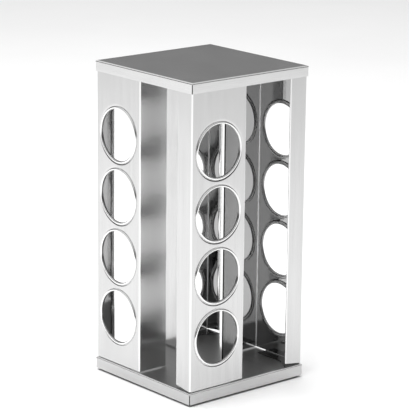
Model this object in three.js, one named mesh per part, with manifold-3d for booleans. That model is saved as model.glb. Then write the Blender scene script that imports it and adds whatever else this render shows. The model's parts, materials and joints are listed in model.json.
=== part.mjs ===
// Revolving spice carousel: a square sheet-steel tower that turns on a ball-bearing turntable.
// Millimetres, +Z up. The origin is the centre of the footprint, on the surface the feet stand on.
// Seen from above, the front corner profile stands at +X -Y and the others follow at quarter turns.
import * as THREE from 'three';
import { mergeVertices } from 'three/addons/utils/BufferGeometryUtils.js';
import Module from 'manifold-3d';

const wasm = await Module();
wasm.setup();

// Whole object
const WIDTH = 150;
const TOTAL_HEIGHT = 324;
const FLOOR_CLEARANCE = 2.2; // from the surface to the tray's lower edge
const SHEET = 0.6; // thickness of every steel sheet
const BEND = 1.6; // outer radius of every sheet bend
const TOUCH_GAP = 0.3; // room left between two pieces that touch on the real object
const QUARTERS = ['front', 'right', 'back', 'left'];

// Tray and cap: two square pans, each folded from one sheet
const TRAY_DEPTH = 11.7;
const CAP_DEPTH = 10.8;
const CORNER_SLIT = 0.8; // open seam where two skirts meet
const SEAM_TOP = 1.8; // the seam ends this far from the flat face
const TRAY_TOP_Z = FLOOR_CLEARANCE + TRAY_DEPTH;
const CAP_UNDER_Z = TOTAL_HEIGHT - SHEET;

// Corner profiles: corner flange, panel with the jar holes, inner wall
const COLUMN_HALF = 74.1; // centre to the panel's outer face
const FLANGE_EDGE = 52.6; // centre plane to the corner flange's free edge
const FOLD_OFFSET = 5.0; // centre plane to the inner wall's outer face
const WALL_END = 39.3; // centre plane to the inner wall's free edge
const HEM_RADIUS = 1.0; // outer radius of the fold at each free edge, which turns back inside
const HEM_DEPTH = 4.0; // from the free edge to the hem's raw edge
const HEM_TILT = 9.5; // degrees by which the open hem slopes back to the sheet
const FOOT_Z = TRAY_TOP_Z + TOUCH_GAP; // underside of the foot plate
const HEAD_Z = CAP_UNDER_Z - TOUCH_GAP; // top side of the head plate
const EDGE_GAP = 1.4; // from the tray to the profile's plain lower edge, and the same at the cap
const FLANGE_SLANT = 2.9; // rise of the corner flange's end from the corner to its free edge
const PLATE_DEPTH = 11.9; // how far the foot and head plates reach in from the panel
const PLATE_END = 21; // the plates stop this far from the centre plane, short of the fold
const PLATE_TURN = 57; // here the plate's inner edge turns towards the flange's free edge
const PLATE_SETBACK = 0.6; // the plate's end lies this far inside the corner flange's outer face
const LEG = 4; // straight stretch of panel made with a plate's bend

// Jar holes
const HOLE_RADIUS = 26.5;
const HOLE_OFFSET = 39.7; // hole centre to the centre plane
const HOLE_LOWEST_Z = FLOOR_CLEARANCE + 63;
const HOLE_PITCH = 62.8;
const HOLES_PER_PANEL = 4;
const RIM_WIDTH = 2.3;
const RIM_HEIGHT = 0.8; // the rim stands out of the panel
const COLLAR_DEPTH = 1.8; // the collar reaches in from the panel's outer face
const COLLAR_ROOT = 0.48; // depth at which the collar leaves the rim
const LIP_UNDER = 0.3; // depth of the rim's underside, below the panel's outer face
const LIP_FOOT = 0.1; // depth at which the rim's outer foot meets the panel

// Turntable: two moulded discs with a ball race between them
const DISC_THICKNESS = 2.4;
const LOWER_DISC_Z = 3.4;
const LOWER_DISC_RADIUS = 67;
const UPPER_DISC_TOP_Z = TRAY_TOP_Z - SHEET - TOUCH_GAP;
const UPPER_DISC_Z = UPPER_DISC_TOP_Z - DISC_THICKNESS;
const UPPER_DISC_RADIUS = 58.5;
const LOWER_DISC_TOP_Z = LOWER_DISC_Z + DISC_THICKNESS;
const RACE_RADIUS = 52;
const BALL_RADIUS = 2.75;
const BALL_CLEARANCE = 0.25;
const GROOVE_RADIUS = BALL_RADIUS + BALL_CLEARANCE;
const BALL_COUNT = 12;
const BALL_Z = (LOWER_DISC_TOP_Z + UPPER_DISC_Z) / 2;
const GROOVE_LEAN = THREE.MathUtils.radToDeg(Math.asin((UPPER_DISC_Z - BALL_Z) / GROOVE_RADIUS));
const CAGE_HALF_WIDTH = 4.4;
const CAGE_HALF_HEIGHT = 1.1;
const HUB_RADIUS = 9;
const HUB_GAP = 0.4; // between the two hubs
const HUB_SPLIT_Z = 7.4;

// Pivot rivet and its washer
const RIVET_RADIUS = 2.5;
const RIVET_BORE = RIVET_RADIUS + TOUCH_GAP;
const RECESS_RADIUS = 7.4;
const RECESS_FLOOR_Z = 10.4;
const WASHER_RADIUS = 6.4;
const WASHER_Z = RECESS_FLOOR_Z + TOUCH_GAP;
const WASHER_THICKNESS = 0.8;
const RIVET_HEAD_Z = WASHER_Z + WASHER_THICKNESS + TOUCH_GAP;
const RIVET_HEAD_RADIUS = 5.4;
const RIVET_HEAD_HEIGHT = 1.1;
const RIVET_HEAD_SIDE = 0.77; // height of the head's sloping side
const RIVET_TAIL_RADIUS = 4.6;
const RIVET_TAIL_HEIGHT = 1.7;

// Screws that hold the tray on the upper disc
const SCREW_CIRCLE = 41.2;
const SCREW_ANGLE = THREE.MathUtils.degToRad(74);
const SCREW_RADIUS = 1.4;
const SCREW_TIP_Z = 7.9;
const SCREW_HEAD_RADIUS = 2.9;
const SCREW_HEAD_HEIGHT = 1.9;
const SCREW_HEAD_RIM = 0.66; // height of the head's upright rim
const SCREW_SHOULDER_RADIUS = 2.03; // the head rounds over from here to its middle
const SCREW_SHOULDER = 1.62; // height of that shoulder
const SCREW_SLOT_LENGTH = 3.2; // of the cross recess, tip to tip
const SCREW_SLOT_WIDTH = 0.76;
const SCREW_HOLE_RADIUS = SCREW_RADIUS + TOUCH_GAP;
const BOSS_RADIUS = 3.4;
const BOSS_Z = 6.6;
const BOSS_HOLE_Z = 7.4;

// Push-in rubber feet
const FOOT_CIRCLE = 60;
const FOOT_ANGLE = THREE.MathUtils.degToRad(45);
const FOOT_RADIUS = 5.5;
const FOOT_NECK_RADIUS = 2.2;
const FOOT_HOLE_RADIUS = FOOT_NECK_RADIUS + TOUCH_GAP;
const FOOT_CHAMFER = 0.6;
const FOOT_TAPER = 0.3; // the pad is this much slimmer at its top
const FOOT_BARB_RADIUS = 3.1;
const FOOT_BARB_HEIGHT = 1.6;

// Facets
const BEND_STEPS = 3;
const HOLE_SEGMENTS = 24;
const DISC_SEGMENTS = 36;
const SMALL_SEGMENTS = 12;
const BALL_SEGMENTS = 8;
const BALL_RINGS = 6;
const OVERLAP = 1; // how far a cutting solid runs past what it cuts

const steel = (name, color, roughness) =>
  new THREE.MeshStandardMaterial({ name, color, roughness, metalness: 1 });
const moulded = (name, color, roughness) =>
  new THREE.MeshStandardMaterial({ name, color, roughness, metalness: 0 });

const MATERIALS = {
  cap: steel('cap_steel', 0xb9babd, 0.38),
  tray: steel('tray_steel', 0xaeafb1, 0.32),
  profile: steel('profile_steel', 0xcfd1d2, 0.34),
  screw: steel('screw_steel', 0xc4c4c4, 0.25),
  rivet: steel('rivet_steel', 0xa9a9a6, 0.35),
  ball: steel('ball_steel', 0xd2d2d2, 0.1),
  disc: moulded('disc_plastic', 0x1d1d1f, 0.55),
  cage: moulded('cage_plastic', 0xd9d8d2, 0.5),
  rubber: moulded('foot_rubber', 0x151515, 0.85),
};

// ---- Shapes ---------------------------------------------------------------------------------

// A closed three.js geometry as a solid that can be cut and joined.
function toSolid(geometry) {
  const bare = geometry.clone();
  bare.deleteAttribute('normal');
  bare.deleteAttribute('uv');
  const merged = mergeVertices(bare, 1e-4);
  return new wasm.Manifold(new wasm.Mesh({
    numProp: 3,
    vertProperties: merged.attributes.position.array,
    triVerts: new Uint32Array(merged.index.array),
  }));
}

function toGeometry(solid) {
  const mesh = solid.getMesh();
  const geometry = new THREE.BufferGeometry();
  geometry.setAttribute('position', new THREE.BufferAttribute(mesh.vertProperties, 3));
  geometry.setIndex(new THREE.BufferAttribute(mesh.triVerts, 1));
  return geometry;
}

function arc(centreX, centreY, radius, fromDegrees, toDegrees, steps = BEND_STEPS) {
  const points = [];
  for (let i = 0; i <= steps; i += 1) {
    const angle = THREE.MathUtils.degToRad(fromDegrees + ((toDegrees - fromDegrees) * i) / steps);
    points.push([centreX + radius * Math.cos(angle), centreY + radius * Math.sin(angle)]);
  }
  return points;
}

// A plan outline in X and Y, raised from z0 to z1.
function upright(outline, z0, z1) {
  const shape = new THREE.Shape(outline.map(([x, y]) => new THREE.Vector2(x, y)));
  const geometry = new THREE.ExtrudeGeometry(shape, { depth: z1 - z0, bevelEnabled: false });
  return geometry.translate(0, 0, z0);
}

// A section in X and Z, drawn out along Y from y0 to y1.
function alongY(section, y0, y1) {
  const shape = new THREE.Shape(section.map(([x, z]) => new THREE.Vector2(x, z)));
  const geometry = new THREE.ExtrudeGeometry(shape, { depth: y1 - y0, bevelEnabled: false });
  return geometry.rotateX(Math.PI / 2).translate(0, y1, 0);
}

function block([x0, y0, z0], [x1, y1, z1]) {
  const geometry = new THREE.BoxGeometry(x1 - x0, y1 - y0, z1 - z0);
  return geometry.translate((x0 + x1) / 2, (y0 + y1) / 2, (z0 + z1) / 2);
}

// A profile of [radius, z] points turned about the vertical axis.
function turned(profile, segments) {
  const points = profile.map(([r, z]) => new THREE.Vector2(r, z));
  return new THREE.LatheGeometry(points, segments).rotateX(Math.PI / 2);
}

// The same for a ring: its profile closes on itself, outward along the bottom and back on top.
const turnedRing = (profile, segments) => turned([...profile, profile[0]], segments);

function rod(radius, z0, z1, x = 0, y = 0, segments = SMALL_SEGMENTS) {
  const profile = [[0, z0], [radius, z0], [radius, z1], [0, z1]];
  return turned(profile, segments).translate(x, y, 0);
}

const onCircle = (radius, angle) => [radius * Math.cos(angle), radius * Math.sin(angle)];
const quarterTurn = (index) => (index * Math.PI) / 2;

// ---- Tray and cap ---------------------------------------------------------------------------

// A block from z0 to z1 whose four top edges are rounded.
function softBlock(halfWidth, z0, z1, radius) {
  const section = [
    [-halfWidth, z0],
    [halfWidth, z0],
    ...arc(halfWidth - radius, z1 - radius, radius, 0, 90),
    ...arc(-halfWidth + radius, z1 - radius, radius, 90, 180),
  ];
  const ridge = alongY(section, -halfWidth, halfWidth);
  const crossing = ridge.clone().rotateZ(Math.PI / 2);
  return toSolid(ridge).intersect(toSolid(crossing));
}

// A pan folded from one sheet: flat face at z1, skirts down to z0, an open seam at each corner.
function foldedPan(z0, z1) {
  const half = WIDTH / 2;
  const inside = softBlock(half - SHEET, z0 - OVERLAP, z1 - SHEET, BEND - SHEET);
  let pan = softBlock(half, z0, z1, BEND).subtract(inside);
  const reach = half * Math.SQRT2;
  for (let i = 0; i < QUARTERS.length; i += 1) {
    const slit = block(
      [reach - 4 * BEND, -CORNER_SLIT / 2, z0 - OVERLAP],
      [reach + OVERLAP, CORNER_SLIT / 2, z1 - SEAM_TOP],
    );
    pan = pan.subtract(toSolid(slit.rotateZ(Math.PI / 4 + quarterTurn(i))));
  }
  return pan;
}

const topCap = () => toGeometry(foldedPan(TOTAL_HEIGHT - CAP_DEPTH, TOTAL_HEIGHT));

function baseTray() {
  let tray = foldedPan(FLOOR_CLEARANCE, TRAY_TOP_Z);
  for (let i = 0; i < QUARTERS.length; i += 1) {
    const [x, y] = onCircle(SCREW_CIRCLE, SCREW_ANGLE + quarterTurn(i));
    const hole = rod(SCREW_HOLE_RADIUS, TRAY_TOP_Z - SHEET - OVERLAP, TRAY_TOP_Z + OVERLAP, x, y);
    tray = tray.subtract(toSolid(hole));
  }
  return toGeometry(tray);
}

// ---- Corner profile, drawn for the front corner -----------------------------------------------

// The open hem on a free edge at edgeX of a sheet whose outer face is at faceY. The sheet comes
// from +X, and inward is the side of its inner face: +1 for +Y, -1 for -Y.
function hem(edgeX, faceY, inward) {
  const tilt = THREE.MathUtils.degToRad(HEM_TILT);
  const side = (radius) => {
    const fold = arc(0, 0, radius, -90, -270 + HEM_TILT, 2 * BEND_STEPS);
    const [crestX, crestY] = fold[fold.length - 1];
    const rawX = HEM_DEPTH - HEM_RADIUS;
    return [...fold, [rawX, crestY - (rawX - crestX) * Math.tan(tilt)]];
  };
  const outline = [...side(HEM_RADIUS), ...side(HEM_RADIUS - SHEET).reverse()];
  return outline.map(([x, y]) => [edgeX + HEM_RADIUS + x, faceY + inward * (HEM_RADIUS + y)]);
}

function profileOutline() {
  const corner = [COLUMN_HALF - BEND, -COLUMN_HALF + BEND];
  const fold = [COLUMN_HALF - BEND, -FOLD_OFFSET - BEND];
  return [
    ...arc(...corner, BEND, -90, 0),
    ...arc(...fold, BEND, 0, 90),
    ...hem(WALL_END, -FOLD_OFFSET, -1),
    ...arc(...fold, BEND - SHEET, 90, 0),
    ...arc(...corner, BEND - SHEET, 0, -90),
    ...hem(FLANGE_EDGE, -COLUMN_HALF, 1).reverse(),
  ];
}

// The panel's end folded in to a plate at plateZ. inward is +1 at the foot and -1 at the head.
function foldedEnd(plateZ, inward) {
  const bendX = COLUMN_HALF - BEND;
  const height = (rise) => plateZ + inward * rise;
  const quarter = (radius, from, to) =>
    arc(bendX, 0, radius, from, to).map(([x, z]) => [x, height(BEND + z)]);
  const section = [
    [COLUMN_HALF, height(BEND + LEG)],
    ...quarter(BEND, 0, -90),
    [FLANGE_EDGE, height(0)],
    [FLANGE_EDGE, height(SHEET)],
    ...quarter(BEND - SHEET, -90, 0),
    [COLUMN_HALF - SHEET, height(BEND + LEG)],
  ];
  const plateZs = [height(0), height(SHEET)].sort((a, b) => a - b);
  const strip = toSolid(alongY(section, -COLUMN_HALF + BEND, -PLATE_END));
  const underFlange = toSolid(block(
    [FLANGE_EDGE, -COLUMN_HALF + PLATE_SETBACK, plateZs[0]],
    [bendX, -COLUMN_HALF + 2 * BEND, plateZs[1]],
  ));
  const innerEdge = COLUMN_HALF - PLATE_DEPTH;
  const beyond = [
    [innerEdge, OVERLAP],
    [0, OVERLAP],
    [0, -COLUMN_HALF - OVERLAP],
    [FLANGE_EDGE, -COLUMN_HALF - OVERLAP],
    [FLANGE_EDGE, -COLUMN_HALF],
    [innerEdge, -PLATE_TURN],
  ];
  const trim = toSolid(upright(beyond, plateZs[0] - BEND, plateZs[1] + BEND));
  return strip.add(underFlange).subtract(trim);
}

// What is cut off the plain profile at one end, to leave room for the folded end.
function endCut(plateZ, inward) {
  const bendX = COLUMN_HALF - BEND;
  const edgeZ = plateZ + inward * (EDGE_GAP - TOUCH_GAP);
  const panelZs = [edgeZ - inward * OVERLAP, plateZ + inward * (BEND + LEG / 2)].sort((a, b) => a - b);
  const panel = toSolid(block(
    [bendX, -COLUMN_HALF + BEND, panelZs[0]],
    [COLUMN_HALF + OVERLAP, -PLATE_END, panelZs[1]],
  ));
  const slantZ = edgeZ + (inward * FLANGE_SLANT * (bendX - FLANGE_EDGE + OVERLAP)) / (bendX - FLANGE_EDGE);
  const wedge = [
    [bendX, edgeZ],
    [bendX, edgeZ - inward * OVERLAP],
    [FLANGE_EDGE - OVERLAP, edgeZ - inward * OVERLAP],
    [FLANGE_EDGE - OVERLAP, slantZ],
  ];
  const hemFace = -COLUMN_HALF + 2 * HEM_RADIUS;
  return panel.add(toSolid(alongY(wedge, -COLUMN_HALF - OVERLAP, hemFace + OVERLAP)));
}

// A pressed rim and collar around a jar hole, on an axis along +X.
function holeRim() {
  const r = HOLE_RADIUS;
  const section = [
    [r, -COLLAR_DEPTH],
    [r + SHEET, -COLLAR_DEPTH],
    [r + SHEET, -COLLAR_ROOT],
    [r + RIM_WIDTH - SHEET, -LIP_UNDER],
    [r + RIM_WIDTH, -LIP_FOOT],
    [r + RIM_WIDTH - RIM_HEIGHT, RIM_HEIGHT],
    [r + SHEET, RIM_HEIGHT],
    [r, RIM_HEIGHT / 2],
  ];
  const points = [...section, section[0]].map(([radius, x]) => new THREE.Vector2(radius, x));
  return new THREE.LatheGeometry(points, HOLE_SEGMENTS).rotateZ(-Math.PI / 2);
}

function cornerProfile() {
  const lowZ = FOOT_Z - TOUCH_GAP + EDGE_GAP;
  const highZ = HEAD_Z + TOUCH_GAP - EDGE_GAP;
  let profile = toSolid(upright(profileOutline(), lowZ, highZ));
  for (const [plateZ, inward] of [[FOOT_Z, 1], [HEAD_Z, -1]]) {
    profile = profile.subtract(endCut(plateZ, inward)).add(foldedEnd(plateZ, inward));
  }
  const drill = new THREE.CylinderGeometry(
    HOLE_RADIUS + RIM_WIDTH / 2,
    HOLE_RADIUS + RIM_WIDTH / 2,
    4 * BEND,
    HOLE_SEGMENTS,
  ).rotateZ(-Math.PI / 2);
  for (let i = 0; i < HOLES_PER_PANEL; i += 1) {
    const centre = [COLUMN_HALF, -HOLE_OFFSET, HOLE_LOWEST_Z + i * HOLE_PITCH];
    const hole = toSolid(drill.clone().translate(...centre));
    const rim = toSolid(holeRim().translate(...centre));
    profile = profile.subtract(hole).add(rim);
  }
  return toGeometry(profile);
}

// ---- Turntable --------------------------------------------------------------------------------

function upperDisc() {
  const groove = arc(RACE_RADIUS, BALL_Z, GROOVE_RADIUS, 180 - GROOVE_LEAN, GROOVE_LEAN);
  let disc = toSolid(turnedRing([
    [RIVET_BORE, HUB_SPLIT_Z + HUB_GAP / 2],
    [HUB_RADIUS, HUB_SPLIT_Z + HUB_GAP / 2],
    [HUB_RADIUS, UPPER_DISC_Z],
    ...groove,
    [UPPER_DISC_RADIUS, UPPER_DISC_Z],
    [UPPER_DISC_RADIUS, UPPER_DISC_TOP_Z],
    [RECESS_RADIUS, UPPER_DISC_TOP_Z],
    [RECESS_RADIUS, RECESS_FLOOR_Z],
    [RIVET_BORE, RECESS_FLOOR_Z],
  ], DISC_SEGMENTS));
  for (let i = 0; i < QUARTERS.length; i += 1) {
    const [x, y] = onCircle(SCREW_CIRCLE, SCREW_ANGLE + quarterTurn(i));
    const boss = rod(BOSS_RADIUS, BOSS_Z, UPPER_DISC_Z + OVERLAP, x, y);
    const hole = rod(SCREW_HOLE_RADIUS, BOSS_HOLE_Z, UPPER_DISC_TOP_Z + OVERLAP, x, y);
    disc = disc.add(toSolid(boss)).subtract(toSolid(hole));
  }
  return toGeometry(disc);
}

function lowerDisc() {
  const groove = arc(RACE_RADIUS, BALL_Z, GROOVE_RADIUS, -GROOVE_LEAN, GROOVE_LEAN - 180);
  let disc = toSolid(turnedRing([
    [RIVET_BORE, LOWER_DISC_Z],
    [LOWER_DISC_RADIUS, LOWER_DISC_Z],
    [LOWER_DISC_RADIUS, LOWER_DISC_TOP_Z],
    ...groove,
    [HUB_RADIUS, LOWER_DISC_TOP_Z],
    [HUB_RADIUS, HUB_SPLIT_Z - HUB_GAP / 2],
    [RIVET_BORE, HUB_SPLIT_Z - HUB_GAP / 2],
  ], DISC_SEGMENTS));
  for (let i = 0; i < QUARTERS.length; i += 1) {
    const [x, y] = onCircle(FOOT_CIRCLE, FOOT_ANGLE + quarterTurn(i));
    const hole = rod(FOOT_HOLE_RADIUS, LOWER_DISC_Z - OVERLAP, LOWER_DISC_TOP_Z + OVERLAP, x, y);
    disc = disc.subtract(toSolid(hole));
  }
  return toGeometry(disc);
}

function ballCage() {
  const z0 = BALL_Z - CAGE_HALF_HEIGHT;
  const z1 = BALL_Z + CAGE_HALF_HEIGHT;
  const inner = RACE_RADIUS - CAGE_HALF_WIDTH;
  const outer = RACE_RADIUS + CAGE_HALF_WIDTH;
  let cage = toSolid(turnedRing([[inner, z0], [outer, z0], [outer, z1], [inner, z1]], DISC_SEGMENTS));
  for (let i = 0; i < BALL_COUNT; i += 1) {
    const [x, y] = onCircle(RACE_RADIUS, (2 * Math.PI * i) / BALL_COUNT);
    const pocket = rod(BALL_RADIUS + TOUCH_GAP, z0 - OVERLAP, z1 + OVERLAP, x, y);
    cage = cage.subtract(toSolid(pocket));
  }
  return toGeometry(cage);
}

const pivotRivet = () => turned([
  [0, LOWER_DISC_Z - TOUCH_GAP - RIVET_TAIL_HEIGHT],
  [RIVET_TAIL_RADIUS, LOWER_DISC_Z - TOUCH_GAP - RIVET_TAIL_HEIGHT],
  [RIVET_TAIL_RADIUS, LOWER_DISC_Z - TOUCH_GAP],
  [RIVET_RADIUS, LOWER_DISC_Z - TOUCH_GAP],
  [RIVET_RADIUS, RIVET_HEAD_Z],
  [RIVET_HEAD_RADIUS, RIVET_HEAD_Z],
  [RIVET_HEAD_RADIUS - RIVET_HEAD_HEIGHT / 2, RIVET_HEAD_Z + RIVET_HEAD_SIDE],
  [0, RIVET_HEAD_Z + RIVET_HEAD_HEIGHT],
], 2 * SMALL_SEGMENTS);

const pivotWasher = () => turnedRing([
  [RIVET_BORE, WASHER_Z],
  [WASHER_RADIUS, WASHER_Z],
  [WASHER_RADIUS, WASHER_Z + WASHER_THICKNESS],
  [RIVET_BORE, WASHER_Z + WASHER_THICKNESS],
], 2 * SMALL_SEGMENTS);

// A pan-head screw with a cross recess, standing at the origin.
function trayScrew() {
  const headZ = TRAY_TOP_Z + TOUCH_GAP;
  const topZ = headZ + SCREW_HEAD_HEIGHT;
  let screw = toSolid(turned([
    [0, SCREW_TIP_Z],
    [SCREW_RADIUS, SCREW_TIP_Z + SCREW_RADIUS],
    [SCREW_RADIUS, headZ],
    [SCREW_HEAD_RADIUS, headZ],
    [SCREW_HEAD_RADIUS, headZ + SCREW_HEAD_RIM],
    [SCREW_SHOULDER_RADIUS, headZ + SCREW_SHOULDER],
    [0, topZ],
  ], SMALL_SEGMENTS));
  const slotSides = [SCREW_SLOT_LENGTH / 2, SCREW_SLOT_WIDTH / 2];
  for (const [x, y] of [slotSides, [...slotSides].reverse()]) {
    const slot = block([-x, -y, topZ - SCREW_HEAD_HEIGHT / 2], [x, y, topZ + OVERLAP]);
    screw = screw.subtract(toSolid(slot));
  }
  return toGeometry(screw);
}

// A rubber foot standing at the origin: a pad, a neck through the disc and a barb above it.
function rubberFoot() {
  const padTop = LOWER_DISC_Z - TOUCH_GAP;
  const barbZ = LOWER_DISC_TOP_Z + TOUCH_GAP;
  return turned([
    [0, 0],
    [FOOT_RADIUS - FOOT_CHAMFER, 0],
    [FOOT_RADIUS, FOOT_CHAMFER],
    [FOOT_RADIUS - FOOT_TAPER, padTop],
    [FOOT_NECK_RADIUS, padTop],
    [FOOT_NECK_RADIUS, barbZ],
    [FOOT_BARB_RADIUS, barbZ],
    [FOOT_NECK_RADIUS, barbZ + FOOT_BARB_HEIGHT],
    [0, barbZ + FOOT_BARB_HEIGHT],
  ], SMALL_SEGMENTS);
}

// ---- Assembly -----------------------------------------------------------------------------------

const carousel = new THREE.Group();

function place(name, geometry, material, parent = carousel) {
  geometry.computeVertexNormals();
  const mesh = new THREE.Mesh(geometry, material);
  mesh.name = name;
  parent.add(mesh);
  return mesh;
}

place('turntable_lower_disc', lowerDisc(), MATERIALS.disc);
place('turntable_upper_disc', upperDisc(), MATERIALS.disc);
place('ball_cage', ballCage(), MATERIALS.cage);
place('pivot_rivet', pivotRivet(), MATERIALS.rivet);
place('pivot_washer', pivotWasher(), MATERIALS.rivet);
place('base_tray', baseTray(), MATERIALS.tray);
place('top_cap', topCap(), MATERIALS.cap);

const ball = new THREE.SphereGeometry(BALL_RADIUS, BALL_SEGMENTS, BALL_RINGS);
for (let i = 0; i < BALL_COUNT; i += 1) {
  const name = `bearing_ball_${String(i + 1).padStart(2, '0')}`;
  const [x, y] = onCircle(RACE_RADIUS, (2 * Math.PI * i) / BALL_COUNT);
  place(name, ball.clone(), MATERIALS.ball).position.set(x, y, BALL_Z);
}

const profileGeometry = cornerProfile();
const screwGeometry = trayScrew();
const footGeometry = rubberFoot();
QUARTERS.forEach((quarter, i) => {
  const turn = new THREE.Group();
  turn.rotation.z = quarterTurn(i);
  carousel.add(turn);
  place(`corner_profile_${quarter}`, profileGeometry.clone(), MATERIALS.profile, turn);
  const screw = place(`tray_screw_${quarter}`, screwGeometry.clone(), MATERIALS.screw, turn);
  screw.position.set(...onCircle(SCREW_CIRCLE, SCREW_ANGLE - Math.PI / 2), 0);
  const foot = place(`rubber_foot_${quarter}`, footGeometry.clone(), MATERIALS.rubber, turn);
  foot.position.set(...onCircle(FOOT_CIRCLE, -FOOT_ANGLE), 0);
});

export default carousel;
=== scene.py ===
"""Looks for the revolving spice carousel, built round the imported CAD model.

Lengths in this file are millimetres, in the CAD's own frame, until a mesh is written in metres.
"""

import json
import math

import bmesh
import bpy
from mathutils import Matrix, Vector


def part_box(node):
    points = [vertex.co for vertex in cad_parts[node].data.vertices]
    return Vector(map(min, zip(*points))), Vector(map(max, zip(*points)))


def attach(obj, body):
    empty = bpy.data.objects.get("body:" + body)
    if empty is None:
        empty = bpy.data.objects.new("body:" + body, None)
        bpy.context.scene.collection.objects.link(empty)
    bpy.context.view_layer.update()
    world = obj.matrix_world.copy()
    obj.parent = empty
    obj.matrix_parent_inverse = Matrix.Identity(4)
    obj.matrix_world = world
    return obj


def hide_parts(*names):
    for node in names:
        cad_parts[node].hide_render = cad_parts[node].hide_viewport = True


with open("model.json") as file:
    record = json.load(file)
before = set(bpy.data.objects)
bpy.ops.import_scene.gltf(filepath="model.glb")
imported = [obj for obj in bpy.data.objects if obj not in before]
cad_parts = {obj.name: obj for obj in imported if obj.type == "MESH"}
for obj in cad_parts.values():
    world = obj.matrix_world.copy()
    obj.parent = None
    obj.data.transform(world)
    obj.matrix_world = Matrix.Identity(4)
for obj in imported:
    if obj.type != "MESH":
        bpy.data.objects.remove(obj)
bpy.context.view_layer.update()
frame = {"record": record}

MM = 0.001
QUARTERS = ("front", "right", "back", "left")
SHEET = 0.6
BEND = 1.6
GRAIN = "grain"  # UV map: U across the brushing, V along it
PAINTED_HIGHLIGHT = "painted_highlight"  # vertex value: 1 where a highlight is painted, as lighter colour and lower roughness
# Where each kind of outer side starts in a sheet's materials: outer side, inner side, cut edges
PANEL_SIDE, RIM_SIDE, HEM_SIDE, COLLAR_SIDE, BEND_SIDE = 0, 3, 6, 9, 12
INNER, CUT = 1, 2  # steps from there to the inner side and to the cut edges
DEBURR = 0.1  # width of the broken edge on cut sheet
DEBURR_ANGLE = math.radians(60)
SHARP_ANGLE = math.radians(38)  # a steeper edge stays sharp under smooth shading
WELD_STEPS = 2000  # steps in a millimetre; corners in the same step are one vertex
FLAT_STEPS = 4  # columns across a flat that has no holes
ROUND_STEPS = 4  # segments in a rounded corner of a turned piece
ROUND_SHARE = 0.45  # a rounding takes no more than this share of a side
ON_AXIS = 1e-6  # millimetres; a smaller radius closes a turned piece in a single corner

# ---- Camera -------------------------------------------------------------------------------------

CAMERA_AZIMUTH = math.radians(49.607)
CAMERA_ELEVATION = math.radians(14.494)
CAMERA_ROLL = math.radians(0.612)
CAMERA_LENS = 191.66
CAMERA_DISTANCE = 2193.9
CAMERA_TARGET = Vector((2.69, 3.16, 178.84))


def make_camera():
    a, e = CAMERA_AZIMUTH, CAMERA_ELEVATION
    back = Vector((math.sin(a) * math.cos(e), -math.cos(a) * math.cos(e), math.sin(e)))
    right = Vector((0, 0, 1)).cross(back).normalized()
    up = back.cross(right)
    c, s = math.cos(CAMERA_ROLL), math.sin(CAMERA_ROLL)
    turned_right, turned_up = c * right + s * up, c * up - s * right
    data = bpy.data.cameras.new("camera")
    data.sensor_width = 36
    data.lens = CAMERA_LENS
    data.clip_start, data.clip_end = 0.05, 50
    camera = bpy.data.objects.new("camera", data)
    turn = Matrix((turned_right, turned_up, back)).transposed().to_4x4()
    camera.matrix_world = Matrix.Translation((CAMERA_TARGET + back * CAMERA_DISTANCE) * MM) @ turn
    bpy.context.scene.collection.objects.link(camera)
    bpy.context.scene.camera = camera


make_camera()

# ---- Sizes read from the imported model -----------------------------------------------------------


def box_mm(node):
    low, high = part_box(node)
    return low / MM, high / MM


profile_low, profile_high = box_mm("corner_profile_front")
tray_low, tray_high = box_mm("base_tray")
cap_low, cap_high = box_mm("top_cap")

COLUMN_HALF = -profile_low.y  # centre to the panel's outer face
WALL_END = profile_low.x
FOLD_OFFSET = -profile_high.y
FOOT_Z, HEAD_Z = profile_low.z, profile_high.z
MIRROR_Z = FOOT_Z + HEAD_Z  # a height z at the foot is MIRROR_Z - z at the head

openings = {o["name"]: o["box_m"] for o in frame["record"]["physics"]["openings"]}
hole_boxes = [openings[f"front_jar_mouth_{i}"] for i in range(1, 5)]
HOLES = [
    ((low[1] + high[1]) / 2 / MM, (low[2] + high[2]) / 2 / MM) for low, high in hole_boxes
]
HOLE_PITCH = HOLES[1][1] - HOLES[0][1]

# ---- Mesh tools ---------------------------------------------------------------------------------


def add_object(name, mesh):
    piece = bpy.data.objects.new(name, mesh)
    bpy.context.scene.collection.objects.link(piece)
    return piece


def mesh_of(name, bm):
    mesh = bpy.data.meshes.new(name)
    bm.to_mesh(mesh)
    bm.free()
    return mesh


def apply_modifiers(piece):
    graph = bpy.context.evaluated_depsgraph_get()
    mesh = bpy.data.meshes.new_from_object(
        piece.evaluated_get(graph), preserve_all_data_layers=True, depsgraph=graph
    )
    old = piece.data
    piece.modifiers.clear()
    piece.data = mesh
    bpy.data.meshes.remove(old)


def soften(piece):
    """Smooth shading over bends and flats alike, without tilting the flats' normals."""
    piece.data.shade_smooth()
    piece.data.set_sharp_from_angle(angle=SHARP_ANGLE)
    weigh = piece.modifiers.new("weighted", "WEIGHTED_NORMAL")
    weigh.keep_sharp = True
    weigh.weight = 90
    apply_modifiers(piece)


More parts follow.
